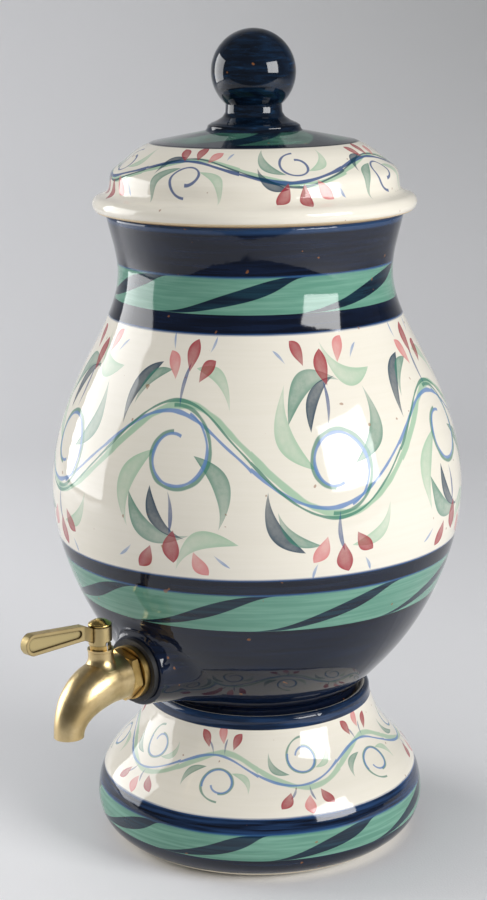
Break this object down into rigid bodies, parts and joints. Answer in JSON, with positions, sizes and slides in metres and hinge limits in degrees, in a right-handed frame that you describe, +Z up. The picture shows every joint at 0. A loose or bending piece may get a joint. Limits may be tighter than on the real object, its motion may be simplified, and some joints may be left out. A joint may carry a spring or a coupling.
{
  "type": "clay water pot with tap",
  "caption": "Glazed clay drink pot on a flared stand, with a domed lid, a ball knob and a brass lever tap.",
  "frame": {"origin": "centre of the stand's foot, on the table", "axes": "+Z up through the knob, -Y out along the tap, +X to the right seen from the tap's side"},
  "size_m": [0.23, 0.2922, 0.455],
  "materials": {
    "glazed_clay_stand": "glossy glaze, painted",
    "glazed_clay_pot": "glossy glaze, painted",
    "glazed_clay_lid": "glossy glaze, painted",
    "satin_brass": "satin",
    "steel": "polished",
    "black_rubber": "satin",
    "white_plastic": "matt"
  },
  "bodies": {
    "stand": {"stand": "glazed_clay_stand"},
    "pot": {"urn": "glazed_clay_pot", "tap_body": "satin_brass", "tail_piece": "satin_brass", "tail_seal": "black_rubber", "outer_gasket": "black_rubber", "inner_gasket": "black_rubber", "inner_washer": "satin_brass", "lock_nut": "satin_brass", "seat_front": "white_plastic", "seat_back": "white_plastic", "thrust_washer": "satin_brass", "stop_pin": "steel"},
    "lid": {"lid": "glazed_clay_lid"},
    "lever": {"lever": "satin_brass", "lever_screw": "satin_brass", "stem": "satin_brass", "stem_o_rings": "black_rubber", "ball": "steel"}
  },
  "joints": [
    {"name": "pot_lift", "type": "slide", "parent": "stand", "child": "pot", "axis": [0, 0, 1], "range_m": [0, 0.04]},
    {"name": "lid_lift", "type": "slide", "parent": "pot", "child": "lid", "axis": [0, 0, 1], "range_m": [0, 0.04]},
    {"name": "lever_turn", "type": "hinge", "parent": "pot", "child": "lever", "pos_m": [0, -0.12435, 0.1194], "axis": [0, 0, -1], "range_deg": [0, 90]}
  ]
}
